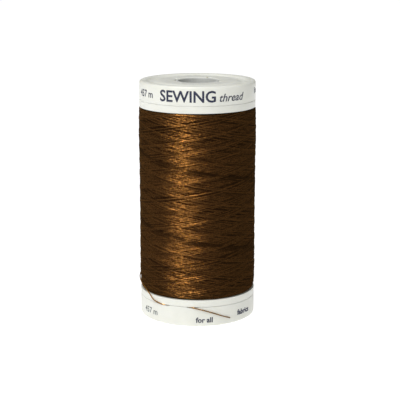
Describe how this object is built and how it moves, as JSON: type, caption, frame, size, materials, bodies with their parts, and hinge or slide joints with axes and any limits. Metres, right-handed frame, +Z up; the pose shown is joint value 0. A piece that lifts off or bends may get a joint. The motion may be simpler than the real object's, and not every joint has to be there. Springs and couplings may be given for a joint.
{
  "type": "spool of sewing thread",
  "caption": "Large standing spool of brown all-purpose sewing thread with white plastic end caps that snap open to grip the thread's loose end, and a hole for a spool pin.",
  "frame": {"origin": "middle of the flat land that the spool stands on", "axes": "+Z up along the spool's axis, -Y towards the side where the thread's loose end leaves the winding and crosses the lower cap"},
  "size_m": [0.0387, 0.0386, 0.0782],
  "materials": {
    "white_plastic": "satin",
    "natural_plastic": "satin",
    "thread": "matte"
  },
  "bodies": {
    "spool": {"lower_flange": "white_plastic", "upper_flange": "white_plastic", "winding_tube": "natural_plastic", "spindle_tube": "natural_plastic", "thread_package": "thread", "thread_tail": "thread"},
    "lower_cap": {"lower_cap": "white_plastic"},
    "upper_cap": {"upper_cap": "white_plastic"}
  },
  "joints": [
    {"name": "lower_cap_slide", "type": "slide", "parent": "spool", "child": "lower_cap", "axis": [0, 0, -1], "range_m": [0, 0.0016]},
    {"name": "upper_cap_slide", "type": "slide", "parent": "spool", "child": "upper_cap", "axis": [0, 0, 1], "range_m": [0, 0.0016]}
  ]
}
